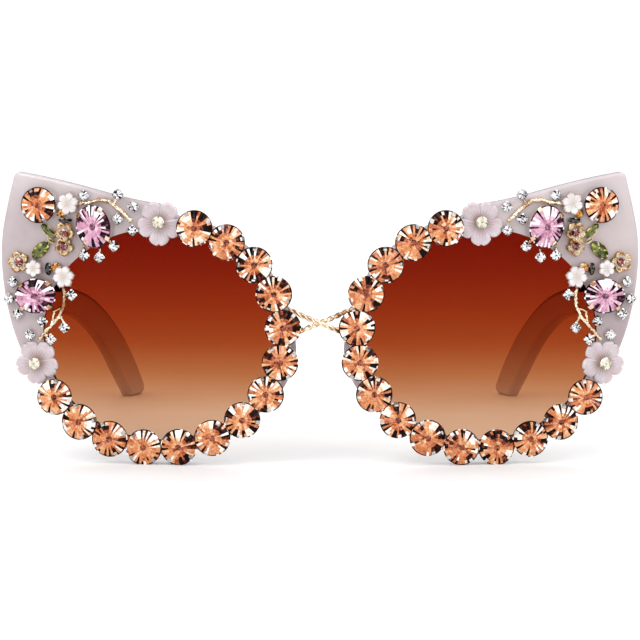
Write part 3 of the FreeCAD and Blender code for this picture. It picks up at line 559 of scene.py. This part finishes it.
def tube(build, path, radius, around=8):
    """Round wire along path, closed at both ends."""
    spots = [Vector(p) for p in path]
    points, faces = [], []
    side = Vector((0, 1, 0))
    for i, spot in enumerate(spots):
        ahead = (spots[min(i + 1, len(spots) - 1)] - spots[max(i - 1, 0)]).normalized()
        across = ahead.cross(side).normalized()
        other = across.cross(ahead)
        for k in range(around):
            a = 2 * math.pi * k / around
            points.append(tuple(spot + (across * math.cos(a) + other * math.sin(a)) * radius))
    for i in range(len(spots) - 1):
        for k in range(around):
            a, b = i * around + k, i * around + (k + 1) % around
            faces.append((a, b, b + around, a + around))
    faces.append(tuple(range(around))[::-1])
    faces.append(tuple(range(len(points) - around, len(points))))
    build.add(points, faces, np.eye(4))


def twisted_bridge():
    """Each crossed wire of the bridge as two strands wound round each other."""
    low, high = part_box("bridge")
    middle = (low + high) / 2
    wire = (high.y - low.y) * 0.5 * 0.62
    rise = (high.z - low.z) / 2 - wire
    build = Builder()
    for lean in (1, -1):
        for phase in (0.0, math.pi):
            path = []
            for i in range(2 * STRAND_STEPS + 1):
                f = i / STRAND_STEPS - 1
                bow = 1 - f * f
                x = f * (high.x - 0.2 * MM)
                a = phase + 2 * math.pi * x / STRAND_PITCH
                y = middle.y - lean * WIRE_PARTING * bow + STRAND_ORBIT * math.cos(a)
                z = middle.z - lean * f * rise - WIRE_SAG * bow + STRAND_ORBIT * math.sin(a)
                path.append((x, y, z))
            tube(build, path, STRAND_R)
    build.piece("twisted_bridge", "front", "bridge", GOLD, smooth=True)


def cast_rough(node):
    """Uneven, hand-cast surface for a twig of straight rods."""
    grain = bpy.data.textures.new(f"{node}_grain", "CLOUDS")
    grain.noise_scale = 0.9 * MM
    made = NODES[node]
    remesh = made.modifiers.new("melt", "REMESH")
    remesh.mode = "VOXEL"
    remesh.voxel_size = 0.11 * MM
    smooth = made.modifiers.new("soften", "SMOOTH")
    smooth.factor, smooth.iterations = 0.5, 5
    push = made.modifiers.new("lumps", "DISPLACE")
    push.texture, push.strength, push.mid_level = grain, 0.42 * MM, 0.42
    push.texture_coords = "LOCAL"


# ---- Pieces ---------------------------------------------------------------------------------
def use(node, material):
    """Give a CAD node its material."""
    data = NODES[node].data
    data.materials.clear()
    data.materials.append(material)


NODE_MATERIALS = [
    ("eye_frame", MILKY), ("temple", LIGHTENED_TEMPLE_PLASTIC), ("nose_pad", MILKY),
    ("front_hinge", HINGE), ("temple_hinge", HINGE), ("front_hinge_rivets", HINGE),
    ("temple_hinge_rivets", HINGE), ("hinge_screw", STEEL), ("rim_settings", SILVER),
    ("oval_settings", GOLD), ("blossom_centre_cups", GOLD), ("accent_cups", SILVER),
    ("leaf_settings", GOLD), ("gold_flowers", GOLD), ("upper_twig", GOLD),
    ("lower_twig", GOLD), ("wing_stems", GOLD),
]
# Piece, node it stands for, slot, material, seed and cut. At 1.06 the girdles of the rim
# stones all but touch, over the tips of their claws.
STONES = [
    ("peach_stones", "rim_crystals", "peach_crystal", PEACH, 11, {"size": 1.06}),
    ("pink_stones", "oval_crystals", "pink_crystal", PINK, 21, {"sides": 10, "contrast": 1.1}),
    ("clear_stones", "accent_crystals", "clear_crystal", CLEAR, 31, {"sides": 6, "contrast": 1.4}),
    ("flower_stones", "blossom_centre_crystals", "clear_crystal", CREAM, 41,
     {"sides": 6, "contrast": 0.6, "size": 1.25}),
    ("garnet_stones", "gold_flower_crystals", "garnet_crystal", GARNET, 51, {"sides": 6}),
    ("amber_stones", "amber_crystals", "amber_crystal", AMBER, 61, {"sides": 6}),
    ("jet_stones", "dark_navettes", "dark_crystal", DARK, 71, {"sides": 4}),
    ("olive_stones", "leaf_crystals", "olive_crystal", OLIVE, 81,
     {"sides": 5, "contrast": 0.6, "size": 1.12}),
]
FLOWERS = [
    ("pearl_blossoms", "blossoms", "mother_of_pearl", PEARL, {}),
    ("small_pearl_flowers", "pearl_flowers", "mother_of_pearl", LIGHT_PEARL,
     {"petals": 6, "notch": -0.12, "cup": 0.1, "depth": 0.24}),
    ("enamel_cups", "gold_flowers", "gold_metal", ENAMEL,
     {"notch": -0.05, "cup": 0.9, "depth": 0.36, "plate": 0.7, "tall": 1.5}),
]
RIGHT_SEEDS = 50        # added to a seed on the right, so that the two sides differ

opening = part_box("lens_left")
LENS = lens_tint(opening[0].z, opening[1].z)
use("bridge", GOLD)
twisted_bridge()
for side in ("left", "right"):
    for node, material in NODE_MATERIALS + [("lens", LENS)]:
        use(f"{node}_{side}", material)
    mirror = 0 if side == "left" else RIGHT_SEEDS
    for name, node, slot, material, seed, options in STONES:
        stones(f"{name}_{side}", f"{node}_{side}", slot, material, seed + mirror, **options)
    for name, node, slot, material, options in FLOWERS:
        flowers(f"{name}_{side}", f"{node}_{side}", slot, material, **options)
    for twig in ("upper_twig", "lower_twig"):
        cast_rough(f"{twig}_{side}")


# ---- Stage, light and camera ----------------------------------------------------------------
def area_light(name, place, aim, size, power):
    lamp = bpy.data.lights.new(name, "AREA")
    lamp.shape = "RECTANGLE"
    lamp.size, lamp.size_y = size
    lamp.energy = power
    made = bpy.data.objects.new(name, lamp)
    made.location = place
    made.rotation_euler = (Vector(aim) - Vector(place)).to_track_quat("-Z", "Y").to_euler()
    bpy.context.scene.collection.objects.link(made)


def stage():
    """Wide flat floor."""
    mesh = bpy.data.meshes.new("floor")
    reach = 4.0
    mesh.from_pydata([(-reach, -reach, 0), (reach, -reach, 0), (reach, reach, 0), (-reach, reach, 0)], [],
                     [(0, 1, 2, 3)])
    mesh.materials.append(floor_paper())
    floor = bpy.data.objects.new("floor", mesh)
    bpy.context.scene.collection.objects.link(floor)


def studio_world():
    """White to the eye and to matt surfaces; softboxes and dark gaps for what gloss reflects."""
    world = bpy.data.worlds.new("studio")
    world.use_nodes = True
    nodes, links = world.node_tree.nodes, world.node_tree.links
    background = nodes["Background"]
    split = nodes.new("ShaderNodeSeparateXYZ")
    links.new(nodes.new("ShaderNodeTexCoord").outputs["Generated"], split.inputs[0])

    def ramp(source, low, high, stops):
        spread = nodes.new("ShaderNodeMapRange")
        links.new(source, spread.inputs["Value"])
        spread.inputs["From Min"].default_value, spread.inputs["From Max"].default_value = low, high
        made = nodes.new("ShaderNodeValToRGB")
        links.new(spread.outputs[0], made.inputs[0])
        elements = made.color_ramp.elements
        while len(elements) < len(stops):
            elements.new(0.5)
        for element, (place, value) in zip(elements, stops):
            element.position, element.color = place, (value, value, value, 1.0)
        return made.outputs[0]

    def blend(kind, fac, a, b):
        made = nodes.new("ShaderNodeMix")
        made.data_type, made.blend_type = "RGBA", kind
        for key, value in ((0, fac), (6, a), (7, b)):
            if isinstance(value, bpy.types.NodeSocket):
                links.new(value, made.inputs[key])
            else:
                made.inputs[key].default_value = value
        return made.outputs[2]

    height = ramp(split.outputs["Z"], -1.0, 1.0, [(0.0, 0.5), (0.52, 0.12), (0.62, 0.9), (0.95, 1.0)])
    panels = ramp(split.outputs["X"], -1.0, 1.0, [(0.0, 0.15), (0.18, 1.0), (0.34, 1.0), (0.42, 0.2),
                                                  (0.56, 0.2), (0.64, 1.0), (0.82, 1.0), (1.0, 0.15)])
    behind = ramp(split.outputs["Y"], -1.0, 1.0, [(0.45, 1.0), (0.62, 0.25)])
    gloss = blend("MULTIPLY", 1.0, blend("MULTIPLY", 1.0, height, panels), behind)
    gloss = blend("MULTIPLY", 1.0, gloss, (1.9, 1.9, 1.9, 1.0))
    path = nodes.new("ShaderNodeLightPath")
    seen = blend("MIX", path.outputs["Is Glossy Ray"], (0.93, 0.93, 0.93, 1.0), gloss)
    seen = blend("MIX", path.outputs["Is Camera Ray"], seen, (1.2, 1.2, 1.2, 1.0))
    links.new(seen, background.inputs["Color"])
    background.inputs["Strength"].default_value = 1.2
    bpy.context.scene.world = world


def camera():
    """Eye in front of the bridge and a little above the top of the wings."""
    distance, height, tilt = 0.640, 0.0915, math.radians(5.14)
    seen_width = 147.84 * MM        # across the picture at the front of the frame
    front_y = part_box("eye_frame_left")[0].y
    data = bpy.data.cameras.new("camera")
    data.lens = data.sensor_width * distance / seen_width
    data.clip_start, data.clip_end = 0.01, 50.0
    made = bpy.data.objects.new("camera", data)
    made.location = (0.0, front_y - distance, height)
    made.rotation_euler = (math.pi / 2 - tilt, 0.0, 0.0)
    bpy.context.scene.collection.objects.link(made)
    bpy.context.scene.camera = made


stage()
studio_world()
camera()
centre = Vector((0.0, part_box("eye_frame_left")[0].y, 0.03))
area_light("key", (-0.5, -0.7, 0.8), centre, (0.4, 0.4), 2.2)
area_light("fill", (0.7, -0.6, 0.5), centre, (0.4, 0.3), 1.0)
area_light("back", (0.0, 0.9, 0.7), centre, (0.9, 0.5), 2.0)
view = bpy.context.scene.view_settings
view.view_transform = "Standard"
view.look = "None"
